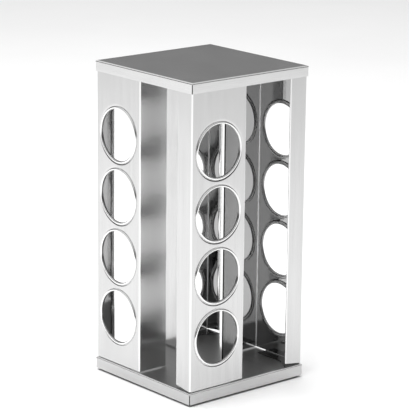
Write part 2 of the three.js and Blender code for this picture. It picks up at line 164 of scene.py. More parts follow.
class Skin:
    """The outer face of a bent sheet. A corner is (point, place in the grain map, painted
    highlight).
    """

    def __init__(self):
        self.bm = bmesh.new()
        self.uv = self.bm.loops.layers.uv.new(GRAIN)
        self.painted_highlight = self.bm.verts.layers.float.new(PAINTED_HIGHLIGHT)
        self.known = {}

    def vertex(self, point, painted_highlight):
        key = tuple(round(c * WELD_STEPS) for c in point)
        if key not in self.known:
            self.known[key] = self.bm.verts.new(Vector(point) * MM)
            self.known[key][self.painted_highlight] = painted_highlight
        return self.known[key]

    def face(self, corners, material=0):
        """Corners run anticlockwise as seen from outside; corners that coincide count once."""
        verts, places = [], []
        for point, place, painted_highlight in corners:
            vertex = self.vertex(point, painted_highlight)
            if vertex not in verts:
                verts.append(vertex)
                places.append(place)
        if len(verts) < 3:
            return
        face = self.bm.faces.new(verts)
        face.material_index = material
        for loop, (u, v) in zip(face.loops, places):
            loop[self.uv].uv = (u * MM, v * MM)

    def grid(self, rows, hem=(), bend=()):
        """Rows of corners: along a row to the right and from row to row upward, seen from outside.
        The spaces between columns that are listed in hem or bend get that material."""
        for low, high in zip(rows, rows[1:]):
            for i in range(len(low) - 1):
                material = HEM_SIDE if i in hem else BEND_SIDE if i in bend else PANEL_SIDE
                self.face([low[i], low[i + 1], high[i + 1], high[i]], material)

    def sheet(self, name, materials, turn=0.0):
        """Thickens the skin inward and breaks its cut edges."""
        mesh = mesh_of(name, self.bm)
        mesh.transform(Matrix.Rotation(turn, 4, "Z"))
        for material in materials:
            mesh.materials.append(material)
        piece = add_object(name, mesh)
        thicken = piece.modifiers.new("sheet", "SOLIDIFY")
        thicken.thickness = SHEET * MM
        thicken.offset = -1
        thicken.use_even_offset = True
        thicken.material_offset = INNER
        thicken.material_offset_rim = CUT
        bevel = piece.modifiers.new("deburred", "BEVEL")
        bevel.width = DEBURR * MM
        bevel.segments = 2
        bevel.limit_method = "ANGLE"
        bevel.angle_limit = DEBURR_ANGLE
        bevel.material = CUT
        apply_modifiers(piece)
        soften(piece)
        return piece


def spread(first, last, steps):
    return [first + (last - first) * i / steps for i in range(steps + 1)]


# ---- Corner profiles ----------------------------------------------------------------------------

FLANGE_EDGE = 52.6
EDGE_Z = FOOT_Z + 1.1  # the plain lower edge
FLANGE_SLANT = 2.9
PLATE_END = -21.0
PLATE_TURN = -57.0
PLATE_INNER = COLUMN_HALF - 11.9
PLATE_OUTER = -COLUMN_HALF + 0.6
FOLD_Z = FOOT_Z + BEND  # where the folded end's bend starts
CALM_Z = FOLD_Z + 4.0  # above this nothing bends
PANEL_Y = (-COLUMN_HALF + BEND, -FOLD_OFFSET - BEND)  # the panel's flat part
BEND_X = COLUMN_HALF - BEND
SIDE_STEPS = 26  # rays from a hole's centre to each side of its cell
BEND_ANGLES = spread(0, math.pi / 2, 8)

# The open hem on each free edge
HEM_RADIUS = 1.0
HEM_DEPTH = 4.0
HEM_TILT = math.radians(9.5)
HEM_BEND_STEPS = 12
HEM_LEAF_STEPS = 3
GRAIN_SHIFT = 0.31  # from one profile to the next, in the grain map's metres

# Across a hole's rim, from the flat panel through the drawn-in ring round the rim and over the rim
# to the collar's end: radius, height above the panel, painted highlight
RIM_SECTION = [
    (31.0, 0.0, 0.0),
    (30.6, -0.02, 0.1),
    (30.2, -0.09, 0.0),
    (29.8, -0.21, 0.0),
    (29.4, -0.33, 0.0),
    (29.1, -0.39, 0.0),
    (28.9, -0.34, 0.0),
    (28.8, -0.12, 0.2),
    (28.68, 0.2, 0.6),
    (28.5, 0.44, 0.8),
    (28.25, 0.64, 0.9),
    (27.95, 0.76, 1.0),
    (27.6, 0.8, 1.0),
    (27.25, 0.77, 1.0),
    (26.95, 0.67, 0.9),
    (26.7, 0.48, 0.8),
    (26.55, 0.24, 0.6),
    (26.5, 0.0, 0.4),
    (26.5, -0.9, 0.1),
    (26.5, -1.8, 0.1),
]
RIM_FOOT_RADIUS = 28.9


def panel_corner(y, z):
    return (COLUMN_HALF, y, z), (y - PANEL_Y[0], z), 0.0


def cell_rays(centre_y):
    """Rays from a hole's centre to its cell's border, as (cos, sin, length to the border)."""
    half_z = HOLE_PITCH / 2
    left, right = PANEL_Y[0] - centre_y, PANEL_Y[1] - centre_y
    corners = [
        math.atan2(-half_z, right),
        math.atan2(half_z, right),
        math.atan2(half_z, left),
        math.atan2(-half_z, left) + 2 * math.pi,
        math.atan2(-half_z, right) + 2 * math.pi,
    ]
    rays = []
    for side, (start, end) in enumerate(zip(corners, corners[1:])):
        for angle in spread(start, end, SIDE_STEPS)[:-1]:
            c, s = math.cos(angle), math.sin(angle)
            upright_side = side in (0, 2)
            reach = (right, half_z, left, -half_z)[side] / (c if upright_side else s)
            rays.append((c, s, reach))
    return rays


def panel_cell(skin, centre_y, centre_z):
    rays = cell_rays(centre_y)

    def corner(ray, radius, height, painted_highlight):
        c, s, _ = ray
        flat = radius if height >= 0 else radius + height
        place = (centre_y + flat * c - PANEL_Y[0], centre_z + flat * s)
        return (COLUMN_HALF + height, centre_y + radius * c, centre_z + radius * s), place, painted_highlight

    for ray, following in zip(rays, rays[1:] + rays[:1]):
        inner = [corner(ray, *RIM_SECTION[0]), corner(following, *RIM_SECTION[0])]
        outer = [corner(ray, ray[2], 0, 0), corner(following, following[2], 0, 0)]
        skin.face([inner[0], outer[0], outer[1], inner[1]])
        for wide, narrow in zip(RIM_SECTION, RIM_SECTION[1:]):
            material = RIM_SIDE if wide[0] <= RIM_FOOT_RADIUS else PANEL_SIDE
            if wide[0] == narrow[0]:
                material = COLLAR_SIDE
            near, far = [
                [corner(r, *section) for section in (narrow, wide)]
                for r in (ray, following)
            ]
            skin.face([*near, *far[::-1]], material)


def side_heights(centre_y, side):
    """The heights at which the rays of all cells meet their right (0) or left (2) sides."""
    rays = cell_rays(centre_y)[side * SIDE_STEPS : (side + 1) * SIDE_STEPS]
    rises = sorted(s * reach for c, s, reach in rays)
    if side == 2:
        rises = [-HOLE_PITCH / 2] + rises[:-1]
    heights = [z + rise for _, z in HOLES for rise in rises]
    return heights + [HOLES[-1][1] + HOLE_PITCH / 2]


def ends_and_heights(middle):
    foot = [EDGE_Z, FOLD_Z, CALM_Z]
    return foot + middle + [MIRROR_Z - z for z in reversed(foot)]


def upright_column(x, y, flat, painted_highlight, heights, end_rise=0.0):
    """Corners from foot to head; end_rise lifts the lower end and lowers the upper one."""
    column = []
    for z in heights:
        shown = z
        squeeze = 1 - end_rise / (CALM_Z - EDGE_Z)
        if z < CALM_Z:
            shown = CALM_Z - (CALM_Z - z) * squeeze
        if z > MIRROR_Z - CALM_Z:
            shown = MIRROR_Z - CALM_Z + (z - MIRROR_Z + CALM_Z) * squeeze
        column.append(((x, y, shown), (flat, shown), painted_highlight))
    return column


def grid_of_columns(skin, columns, hem, bend):
    skin.grid([list(row) for row in zip(*columns)], hem, bend)


# A painted highlight across a bend, strongest half way round
def bend_highlight(angle):
    return math.sin(2 * angle)


def hem_path():
    """From the flat sheet round the fold to the raw edge: depth from the edge, rise inward, run."""
    path = []
    for angle in spread(0, math.pi - HEM_TILT, HEM_BEND_STEPS):
        depth = HEM_RADIUS * (1 - math.sin(angle))
        path.append((depth, HEM_RADIUS * (1 - math.cos(angle)), HEM_RADIUS * angle))
    crest_depth, crest_rise, crest_run = path[-1]
    for depth in spread(crest_depth, HEM_DEPTH, HEM_LEAF_STEPS)[1:]:
        back = depth - crest_depth
        path.append((depth, crest_rise - back * math.tan(HEM_TILT), crest_run + back))
    return path


def flange_and_corner(skin):
    heights = ends_and_heights(side_heights(HOLES[0][0], 2))
    columns = []
    bend_start = -BEND * math.pi / 2

    def add(x, y, flat):
        rise = FLANGE_SLANT * (BEND_X - x) / (BEND_X - FLANGE_EDGE)
        columns.append(upright_column(x, y, flat, 0, heights, rise))

    hem_start = FLANGE_EDGE + HEM_RADIUS
    for depth, rise, run in hem_path()[:0:-1]:
        add(FLANGE_EDGE + depth, -COLUMN_HALF + rise, bend_start - (BEND_X - hem_start) - run)
    for x in spread(hem_start, BEND_X, FLAT_STEPS):
        add(x, -COLUMN_HALF, bend_start - (BEND_X - x))
    for angle in BEND_ANGLES[1:]:
        x = BEND_X + BEND * math.sin(angle)
        y = PANEL_Y[0] - BEND * math.cos(angle)
        flat = bend_start + BEND * angle
        columns.append(upright_column(x, y, flat, bend_highlight(angle), heights))
    bend = range(len(columns) - len(BEND_ANGLES), len(columns) - 1)
    grid_of_columns(skin, columns, range(len(hem_path()) - 1), bend)


def fold_and_wall(skin):
    heights = ends_and_heights(side_heights(HOLES[0][0], 0))
    width = PANEL_Y[1] - PANEL_Y[0]
    columns = []
    for angle in BEND_ANGLES[:-1]:
        x = BEND_X + BEND * math.cos(angle)
        y = PANEL_Y[1] + BEND * math.sin(angle)
        columns.append(upright_column(x, y, width + BEND * angle, bend_highlight(angle), heights))
    wall_start = width + BEND * math.pi / 2
    hem_start = WALL_END + HEM_RADIUS
    for x in spread(BEND_X, hem_start, FLAT_STEPS):
        columns.append(upright_column(x, -FOLD_OFFSET, wall_start + BEND_X - x, 0, heights))
    hem_flat = wall_start + BEND_X - hem_start
    first_of_hem = len(columns) - 1
    for depth, rise, run in hem_path()[1:]:
        y = -FOLD_OFFSET - rise
        columns.append(upright_column(WALL_END + depth, y, hem_flat + run, 0, heights))
    bend = range(len(BEND_ANGLES) - 1)
    grid_of_columns(skin, columns, range(first_of_hem, len(columns) - 1), bend)


def folded_end(skin, at_head):
    """The panel's end between the cells and the plate that is folded in from it."""
    centre_y = HOLES[0][0]
    rays = cell_rays(centre_y)[SIDE_STEPS : 2 * SIDE_STEPS]
    border = sorted([centre_y + c * reach for c, s, reach in rays] + [PANEL_Y[0]])
    columns = list(border)
    for exact in (PLATE_END, PLATE_TURN):
        nearest = min(range(len(columns)), key=lambda i: abs(columns[i] - exact))
        columns[nearest] = exact
    border_z = HOLES[0][1] - HOLE_PITCH / 2
    if at_head:
        border_z = MIRROR_Z - HOLES[-1][1] - HOLE_PITCH / 2

    def real(corner):
        (x, y, z), (u, v), painted_highlight = corner
        return ((x, y, MIRROR_Z - z), (u, MIRROR_Z - v), painted_highlight) if at_head else corner

    def add(rows):
        rows = [[real(corner) for corner in row] for row in rows]
        skin.grid(rows[::-1] if at_head else rows)

    add([
        [panel_corner(y, FOLD_Z) for y in columns],
        [panel_corner(y, CALM_Z) for y in columns],
        [panel_corner(y, border_z) for y in border],
    ])
    plain = [y for y in columns if y >= PLATE_END]
    add([[panel_corner(y, EDGE_Z) for y in plain], [panel_corner(y, FOLD_Z) for y in plain]])

    folded = [y for y in columns if y <= PLATE_END]
    rows = []
    for angle in BEND_ANGLES:
        x = BEND_X + BEND * math.cos(angle)
        z = FOLD_Z - BEND * math.sin(angle)
        grain_z = FOLD_Z - BEND * angle
        rows.append([((x, y, z), (y - PANEL_Y[0], grain_z), bend_highlight(angle)) for y in folded])

    def plate_corner(y, share):
        run = max(0.0, PLATE_TURN - y) / (PLATE_TURN + COLUMN_HALF)
        inner = PLATE_INNER + (FLANGE_EDGE - PLATE_INNER) * run
        x = BEND_X + (inner - BEND_X) * share
        grain_z = FOLD_Z - BEND * math.pi / 2 - (BEND_X - x)
        return (x, y, FOOT_Z), (y - PANEL_Y[0], grain_z), 0.0

    add(rows[::-1])
    add([[plate_corner(y, share) for y in [PLATE_OUTER] + folded] for share in (1.0, 0.5, 0.0)])


def corner_profile(index, materials):
    skin = Skin()
    flange_and_corner(skin)
    fold_and_wall(skin)
    for centre_y, centre_z in HOLES:
        panel_cell(skin, centre_y, centre_z)
    for at_head in (False, True):
        folded_end(skin, at_head)
    shift = GRAIN_SHIFT * index  # each sheet shows its own stretch of grain
    for face in skin.bm.faces:
        for loop in face.loops:
            loop[skin.uv].uv.x += shift
    return skin.sheet(f"profile_{QUARTERS[index]}", materials, index * math.pi / 2)


# ---- Tray and cap -------------------------------------------------------------------------------

SEAM_TOP = 1.8
SEAM_HALF = 0.65
PAN_STEPS = 10  # across a pan's face and skirts
SKIRT_STEPS = 3  # down a skirt
SKIRT_GRAIN_SHIFT = 400.0  # from one skirt to the next in the grain map


def folded_pan(name, low, high, materials):
    """A square pan: flat face on top, four skirts down, an open seam at each corner."""
    half, face_z, edge_z = high.x, high.z, low.z
    flat = half - BEND
    stations = spread(-flat, flat, PAN_STEPS)
    skin = Skin()
    skin.grid([[((x, y, face_z), (y, x), 0) for x in stations] for y in stations])
    seam_z = face_z - SEAM_TOP
    for side in range(4):
        turn = Matrix.Rotation(side * math.pi / 2, 3, "Z")
        shift = SKIRT_GRAIN_SHIFT * (side + 1)

        def corner(x, y, z, across, painted_highlight=0.0):
            return tuple(turn @ Vector((x, y, z))), (across + shift, x), painted_highlight

        def bend_row(angle):
            y = -(flat + BEND * math.sin(angle))
            z = face_z - BEND + BEND * math.cos(angle)
            across = -BEND * angle
            painted_highlight = bend_highlight(angle)
            return [corner(x, y, z, across, painted_highlight) for x in (y, *stations, -y)]

        skin.grid([bend_row(angle) for angle in BEND_ANGLES[::-1]])
        upper = bend_row(math.pi / 2)
        drop = -BEND * math.pi / 2
        ends = half - SEAM_HALF
        lower = [
            corner(x, -half, seam_z, drop - SEAM_TOP + BEND)
            for x in [-half, -ends, *stations, ends, half]
        ]
        skin.face([lower[0], lower[1], lower[2], upper[1], upper[0]])
        skin.grid([lower[2:-2], upper[1:-1]])
        skin.face([lower[-3], lower[-2], lower[-1], upper[-1], upper[-2]])
        rows = []
        for z in spread(edge_z, seam_z, SKIRT_STEPS)[:-1]:
            across = drop - (face_z - BEND - z)
            rows.append([corner(x, -half, z, across) for x in [-ends, *stations, ends]])
        skin.grid(rows + [lower[1:-1]])
    return skin.sheet(name, materials)


# ---- Turned pieces ------------------------------------------------------------------------------

GRAIN_STEP = 0.6  # along the grain from one segment to the next
ROD_SEGMENTS = 32
DISC_SEGMENTS = 120
RIVET_SEGMENTS = 64
SMALL_SEGMENTS = 48
BALL_SEGMENTS, BALL_RINGS = 40, 20
GROOVE_STEPS = 12
DOME_STEPS = 10


def arc(centre_r, centre_z, radius, start, end, steps):
    points = []
    for angle in spread(math.radians(start), math.radians(end), steps):
        points.append((centre_r + radius * math.cos(angle), centre_z + radius * math.sin(angle)))
    return points


def rounded(points, radius):
    """The same section with every corner between its two ends rounded."""
    result = [points[0]]
    for before, here, after in zip(points, points[1:], points[2:]):
        a, b, c = Vector(before), Vector(here), Vector(after)
        cut = min(radius, (a - b).length * ROUND_SHARE, (c - b).length * ROUND_SHARE)
        start, end = b + (a - b).normalized() * cut, b + (c - b).normalized() * cut
        for t in spread(0, 1, ROUND_STEPS):
            result.append(tuple((1 - t) ** 2 * start + 2 * t * (1 - t) * b + t * t * end))
    result.append(points[-1])
    return result


def lathe(name, section, segments, materials, centre=(0.0, 0.0), closed=False):
    """A section of (radius, z), outward along the bottom and back on top, turned about an upright
    axis. Its grain runs round the axis."""
    bm = bmesh.new()
    uv = bm.loops.layers.uv.new(GRAIN)
    rings = []
    for radius, z in section:
        if radius < ON_AXIS:
            rings.append([bm.verts.new(Vector((centre[0], centre[1], z)) * MM)] * segments)
            continue
        ring = []
        for i in range(segments):
            angle = 2 * math.pi * i / segments
            x = centre[0] + radius * math.cos(angle)
            y = centre[1] + radius * math.sin(angle)
            ring.append(bm.verts.new(Vector((x, y, z)) * MM))
        rings.append(ring)
    run = [0.0]
    for before, here in zip(section, section[1:]):
        run.append(run[-1] + math.dist(before, here))
    pairs = list(zip(range(len(rings)), range(1, len(rings))))
    if closed:
        pairs.append((len(rings) - 1, 0))
    for a, b in pairs:
        for i in range(segments):
            j = (i + 1) % segments
            verts = []
            places = []
            for ring, k, column in ((a, i, i), (a, j, i + 1), (b, j, i + 1), (b, i, i)):
                vertex = rings[ring][k]
                if vertex not in verts:
                    verts.append(vertex)
                    places.append((run[ring], column * GRAIN_STEP))
            if len(verts) > 2:
                face = bm.faces.new(verts)
                for loop, (u, v) in zip(face.loops, places):
                    loop[uv].uv = (u * MM, v * MM)
    mesh = mesh_of(name, bm)
    for material in materials:
        mesh.materials.append(material)
    return add_object(name, mesh)


def combine(piece, operation, tools):
    """Cuts or joins solids, then drops them."""
    for tool in tools:
        modifier = piece.modifiers.new("combine", "BOOLEAN")
        modifier.operation = operation
        modifier.solver = "EXACT"
        modifier.object = tool
    apply_modifiers(piece)
    for tool in tools:
        mesh = tool.data
        bpy.data.objects.remove(tool)
        bpy.data.meshes.remove(mesh)


def rod(radius, z0, z1, centre):
    section = [(0, z0), (radius, z0), (radius, z1), (0, z1)]
    return lathe("tool", section, ROD_SEGMENTS, [], centre)


def centre_of(node):
    low, high = box_mm(node)
    return ((low.x + high.x) / 2, (low.y + high.y) / 2)


# ---- Materials ----------------------------------------------------------------------------------


class Look:
    """A procedural material under construction."""

    def __init__(self, name):
        self.material = bpy.data.materials.new(name)
        self.material.use_nodes = True
        self.tree = self.material.node_tree
        self.shader = self.tree.nodes["Principled BSDF"]

    def node(self, kind, settings=None, **inputs):
        made = self.tree.nodes.new(kind)
        for key, value in (settings or {}).items():
            setattr(made, key, value)
        for key, value in inputs.items():
            self.put(made.inputs[key.replace("_", " ")], value)
        return made

    def put(self, socket, value):
        if isinstance(value, bpy.types.NodeSocket):
            self.tree.links.new(value, socket)
        else:
            socket.default_value = value

    def set(self, **inputs):
        for key, value in inputs.items():
            self.put(self.shader.inputs[key.replace("_", " ")], value)

    def math(self, operation, a, b=0.0):
        made = self.node("ShaderNodeMath", {"operation": operation})
        self.put(made.inputs[0], a)
        self.put(made.inputs[1], b)
        return made.outputs[0]

    def span(self, value, low, high, start=0.0, end=1.0):
        """Maps start..end to low..high, held at the ends."""
        made = self.node("ShaderNodeMapRange")
        for key, number in (
            ("Value", value),
            ("From Min", start),
            ("From Max", end),
            ("To Min", low),
            ("To Max", high),
        ):
            self.put(made.inputs[key], number)
        return made.outputs[0]

    def mix(self, factor, a, b):
        made = self.node("ShaderNodeMix", {"data_type": "RGBA"})
        self.put(made.inputs["Factor"], factor)
        self.put(made.inputs[6], a)
        self.put(made.inputs[7], b)
        return made.outputs[2]

    def noise(self, vector, scale, detail, roughness=0.5):
        made = self.node("ShaderNodeTexNoise", Vector=vector, Scale=scale, Detail=detail)
        made.inputs["Roughness"].default_value = roughness
        return made.outputs[0]

    def stretched(self, vector, across, along, offset=0.0):
        """Coordinates in which one unit is across mm over the grain and along mm down it."""
        made = self.node("ShaderNodeMapping", Vector=vector)
        made.inputs["Scale"].default_value = (1000 / across, 1000 / along, 1000 / along)
        made.inputs["Location"].default_value = (offset, offset, offset)
        return made.outputs[0]


def grey(level):
    return (level, level, level, 1.0)


BROAD_ACROSS, BROAD_ALONG = 9, 2.4  # the broad streaks are this much larger than the fine ones
HIGHLIGHT_LEVEL = 1.6  # a painted highlight is this much brighter
BRUSHED_RELIEF = 0.00003  # metres
SPECK_SCALE = 260.0
SPECK_RELIEF = 0.00002
MOULD_RELIEF = 0.00006


def brushed_steel(name, level, roughness, anisotropy, grain, contrast, bump, smudge=0.04):
    """Steel with a linear brushing along the grain map's V. grain is (across, along) in mm."""
    look = Look(name)
    place = look.node("ShaderNodeUVMap", {"uv_map": GRAIN}).outputs[0]
    solid = look.node("ShaderNodeTexCoord").outputs["Object"]
    fine = look.noise(look.stretched(place, *grain), 1.0, 3.0, 0.6)
    wide, long = grain[0] * BROAD_ACROSS, grain[1] * BROAD_ALONG
    broad = look.noise(look.stretched(place, wide, long, 7.0), 1.0, 2.0)
    clouds = look.noise(solid, 22.0, 3.0)
    painted_highlight = look.node("ShaderNodeAttribute", {"attribute_name": PAINTED_HIGHLIGHT}).outputs["Fac"]
    streak = look.math("ADD", look.math("MULTIPLY", fine, 0.65), look.math("MULTIPLY", broad, 0.35))
    dark, bright = grey(level * (1 - contrast)), grey(level * (1 + contrast))
    colour = look.mix(look.span(streak, 0, 1, 0.3, 0.7), dark, bright)
    colour = look.mix(look.span(clouds, 0, smudge, 0.35, 0.75), colour, grey(level * 0.7))
    # Lighter colour where a highlight is painted on bends and rim crests
    colour = look.mix(look.span(painted_highlight, 0, 0.9), colour, grey(min(0.95, level * HIGHLIGHT_LEVEL)))
    rough = look.span(streak, roughness * 1.12, roughness * 0.88, 0.3, 0.7)
    rough = look.math("ADD", rough, look.span(clouds, -smudge * 0.4, smudge * 0.6, 0.3, 0.7))
    rough = look.math("SUBTRACT", rough, look.span(painted_highlight, 0, roughness * 0.45))
    relief = look.node("ShaderNodeBump", Height=fine)
    relief.inputs["Strength"].default_value = bump
    relief.inputs["Distance"].default_value = BRUSHED_RELIEF
    look.set(Base_Color=colour, Metallic=1.0, Roughness=rough, Normal=relief.outputs[0])
    look.set(Anisotropic=anisotropy)
    if anisotropy > 0:
        tangent = look.node("ShaderNodeTangent", {"direction_type": "UV_MAP", "uv_map": GRAIN})
        look.set(Tangent=tangent.outputs[0])
    return look.material


def plain_steel(name, level, roughness, contrast=0.05):
    """Polished, plated or cut steel: fine scratches all ways and a little tarnish."""
    look = Look(name)
    solid = look.node("ShaderNodeTexCoord").outputs["Object"]
    speck = look.noise(solid, SPECK_SCALE, 4.0, 0.6)
    clouds = look.noise(solid, 45.0, 2.0)
    halves = [look.math("MULTIPLY", part, 0.5) for part in (speck, clouds)]
    mottled = look.math("ADD", *halves)
    dark, bright = grey(level * (1 - contrast)), grey(level * (1 + contrast))
    relief = look.node("ShaderNodeBump", Height=speck)
    relief.inputs["Strength"].default_value = 0.06
    relief.inputs["Distance"].default_value = SPECK_RELIEF
    look.set(
        Base_Color=look.mix(look.span(mottled, 0, 1, 0.3, 0.7), dark, bright),
        Metallic=1.0,
        Roughness=look.span(mottled, roughness * 1.25, roughness * 0.8, 0.3, 0.7),
        Normal=relief.outputs[0],
    )
    return look.material


def moulded(name, colour, roughness, texture_scale, bump, dust=0.06):
    """Moulded plastic or rubber: a spark-eroded grain, a slow change of tone and some dust."""
    look = Look(name)
    solid = look.node("ShaderNodeTexCoord").outputs["Object"]
    grain = look.noise(solid, texture_scale, 3.0, 0.7)
    clouds = look.noise(solid, 30.0, 3.0)
    deep = tuple(c * 0.85 for c in colour[:3]) + (1.0,)
    dusty = tuple(c + (0.55 - c) * dust * 2 for c in colour[:3]) + (1.0,)
    tone = look.mix(look.span(grain, 0, 1, 0.3, 0.7), deep, colour)
    relief = look.node("ShaderNodeBump", Height=grain)
    relief.inputs["Strength"].default_value = bump
    relief.inputs["Distance"].default_value = MOULD_RELIEF
    look.set(
        Base_Color=look.mix(look.span(clouds, 0, 1, 0.5, 0.85), tone, dusty),
        Roughness=look.span(clouds, roughness * 0.9, min(1.0, roughness * 1.15), 0.3, 0.7),
        Normal=relief.outputs[0],
    )
    return look.material


# Name, grey level, roughness, anisotropy, grain, contrast, relief, smudge
PROFILE_OUT = brushed_steel("profile_brushed", 0.62, 0.2, 1.0, (0.7, 60), 0.07, 0.1)
# Bright-annealed inner side; its low grey level is partly painted shade that darkens the inside of
# the columns
PROFILE_IN = brushed_steel("profile_annealed_and_shade", 0.37, 0.06, 0.0, (0.8, 90), 0.05, 0.01, 0.04)
PROFILE_RIM = brushed_steel("rim_pressed", 0.62, 0.2, 0.0, (0.5, 40), 0.02, 0.03)
# Pressed hem; its grey level, higher than the rest of the sheet, is partly a painted highlight that
# whitens the band on each hem
PROFILE_HEM = brushed_steel("hem_pressed_and_highlight", 0.84, 0.1, 0.0, (0.5, 60), 0.02, 0.02, 0.02)
# The cap's outer side is a lighter grey than the tray's: painted light on the cap at the top
CAP_OUT = brushed_steel("cap_brushed_lit", 0.76, 0.22, 0.3, (0.6, 45), 0.06, 0.12)
CAP_IN = brushed_steel("cap_annealed", 0.58, 0.16, 0.2, (0.6, 80), 0.02, 0.02)
# Darker than the cap: painted shade on the tray near the floor
TRAY_OUT = brushed_steel("tray_brushed_shaded", 0.60, 0.32, 0.3, (0.6, 45), 0.07, 0.1)
TRAY_IN = brushed_steel("tray_annealed", 0.55, 0.2, 0.2, (0.6, 80), 0.02, 0.02)
# Name, grey level, roughness, contrast
# Drawn collar; its dark grey paints the shadow along the inner edge of each hole
PROFILE_COLLAR = plain_steel("collar_drawn_shaded", 0.26, 0.3)
# Cut sheet edges; their very dark grey is partly painted shade, giving the black lines in the open
# corner seams and under the hems' raw edges
CUT_EDGE = plain_steel("cut_edge_and_shade", 0.14, 0.42)
# Its high grey level paints the bright band round each hole, at the collar's end and the back of the
# rim, as a highlight
RIM_BACK_HIGHLIGHT = plain_steel("rim_back_painted_highlight", 0.8, 0.4)
# Its high grey level paints the bright line inside each bend as a highlight
BEND_BACK_HIGHLIGHT = plain_steel("bend_back_painted_highlight", 0.9, 0.45)
SCREW_PLATED = plain_steel("screw_plated", 0.68, 0.2)
RIVET_ROLLED = plain_steel("rivet_rolled", 0.5, 0.34, 0.1)
BALL_POLISHED = plain_steel("ball_polished", 0.8, 0.06, 0.02)
# Name, colour, roughness, grain scale, relief, dust
DISC_PLASTIC = moulded("disc_moulded", (0.012, 0.012, 0.013, 1), 0.5, 2200, 0.25)
CAGE_PLASTIC = moulded("cage_moulded", (0.66, 0.65, 0.6, 1), 0.45, 1500, 0.12)
FOOT_RUBBER = moulded("foot_rubber", (0.008, 0.008, 0.008, 1), 0.8, 3000, 0.35, 0.1)

# ---- Pieces -------------------------------------------------------------------------------------


def settle(piece, body, slot, *nodes):
    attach(piece, body)
    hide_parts(*nodes)


for index, quarter in enumerate(QUARTERS):
    profile = corner_profile(index, [
        *(PROFILE_OUT, PROFILE_IN, CUT_EDGE),
        *(PROFILE_RIM, RIM_BACK_HIGHLIGHT, CUT_EDGE),
        *(PROFILE_HEM, PROFILE_IN, CUT_EDGE),
        *(PROFILE_COLLAR, RIM_BACK_HIGHLIGHT, RIM_BACK_HIGHLIGHT),
        *(PROFILE_OUT, BEND_BACK_HIGHLIGHT, CUT_EDGE),
    ])
    settle(profile, "carousel", "profile_steel", f"corner_profile_{quarter}")

cap = folded_pan("cap", cap_low, cap_high, [CAP_OUT, CAP_IN, CUT_EDGE])
settle(cap, "carousel", "cap_steel", "top_cap")
tray = folded_pan("tray", tray_low, tray_high, [TRAY_OUT, TRAY_IN, CUT_EDGE])
settle(tray, "carousel", "tray_steel", "base_tray")

# Turntable
GAP = 0.3  # left between pieces that would touch
DISC_THICKNESS = 2.4
DISC_ROUND = 0.5
RACE_RADIUS = 52.0
BALL_RADIUS = 2.75
GROOVE_RADIUS = BALL_RADIUS + 0.25
POCKET_RADIUS = 3.05
HUB_RADIUS = 9.0
HUB_SPLIT = 0.2  # half the gap between the two hubs
HUB_SPLIT_Z = 7.4
FLAT_BESIDE = 2  # length of flat face drawn beside a rounded corner
BORE = 2.8
FOOT_HOLE_RADIUS = 2.5
BOSS_RADIUS, BOSS_Z = 3.4, 6.6
BOSS_HOLE_RADIUS, BOSS_HOLE_Z = 1.7, 7.4
lower_low, lower_high = box_mm("turntable_lower_disc")
upper_high = box_mm("turntable_upper_disc")[1]
ball_low, ball_high = box_mm("bearing_ball_01")
BALL_Z = (ball_low.z + ball_high.z) / 2
LOWER_TOP = lower_low.z + DISC_THICKNESS
UPPER_LOW = upper_high.z - DISC_THICKNESS
LOWER_HUB_Z, UPPER_HUB_Z = HUB_SPLIT_Z - HUB_SPLIT, HUB_SPLIT_Z + HUB_SPLIT
RECESS_RADIUS = 7.4
RECESS_Z = 10.4


def disc_edge(radius, z0, z1):
    inside = radius - FLAT_BESIDE
    return rounded([(inside, z0), (radius, z0), (radius, z1), (inside, z1)], DISC_ROUND)


def hub(root_z, end_z):
    """A hub's side, from the disc's face to the hub's end."""
    return [(HUB_RADIUS + FLAT_BESIDE, root_z), (HUB_RADIUS, root_z), (HUB_RADIUS, end_z)]


def groove(side, flat_z):
    """The ball groove below (side -1) or above (side 1) the balls, cut where it meets the disc's
    face. It always runs away from the axis, on the lower disc against the rest of the section."""
    half_span = math.sqrt(GROOVE_RADIUS**2 - (flat_z - BALL_Z) ** 2)
    lean = math.degrees(math.atan2(abs(flat_z - BALL_Z), half_span))
    return arc(RACE_RADIUS, BALL_Z, GROOVE_RADIUS, side * (180 - lean), side * lean, GROOVE_STEPS)


lower_section = [
    (BORE, lower_low.z),
    *disc_edge(lower_high.x, lower_low.z, LOWER_TOP),
    *groove(-1, LOWER_TOP),
    *rounded([*hub(LOWER_TOP, LOWER_HUB_Z), (BORE, LOWER_HUB_Z)], DISC_ROUND),
]
lower_disc = lathe("disc_lower", lower_section, DISC_SEGMENTS, [DISC_PLASTIC], closed=True)
foot_centres = {q: centre_of(f"rubber_foot_{q}") for q in QUARTERS}
combine(lower_disc, "DIFFERENCE", [
    rod(FOOT_HOLE_RADIUS, lower_low.z - 1, LOWER_TOP + 1, centre)
    for centre in foot_centres.values()
])
soften(lower_disc)
settle(lower_disc, "turntable_base", "disc_plastic", "turntable_lower_disc")

upper_section = [
    (BORE, UPPER_HUB_Z),
    *rounded([(BORE + 1, UPPER_HUB_Z), *hub(UPPER_LOW, UPPER_HUB_Z)[::-1]], DISC_ROUND),
    *groove(1, UPPER_LOW),
    *disc_edge(upper_high.x, UPPER_LOW, upper_high.z),
    (RECESS_RADIUS, upper_high.z),
    (RECESS_RADIUS, RECESS_Z),
    (BORE, RECESS_Z),
]
upper_disc = lathe("disc_upper", upper_section, DISC_SEGMENTS, [DISC_PLASTIC], closed=True)
screw_centres = {q: centre_of(f"tray_screw_{q}") for q in QUARTERS}
combine(upper_disc, "UNION", [
    rod(BOSS_RADIUS, BOSS_Z, UPPER_LOW + 1, centre) for centre in screw_centres.values()
])
combine(upper_disc, "DIFFERENCE", [
    rod(BOSS_HOLE_RADIUS, BOSS_HOLE_Z, upper_high.z + 1, centre)
    for centre in screw_centres.values()
])
soften(upper_disc)
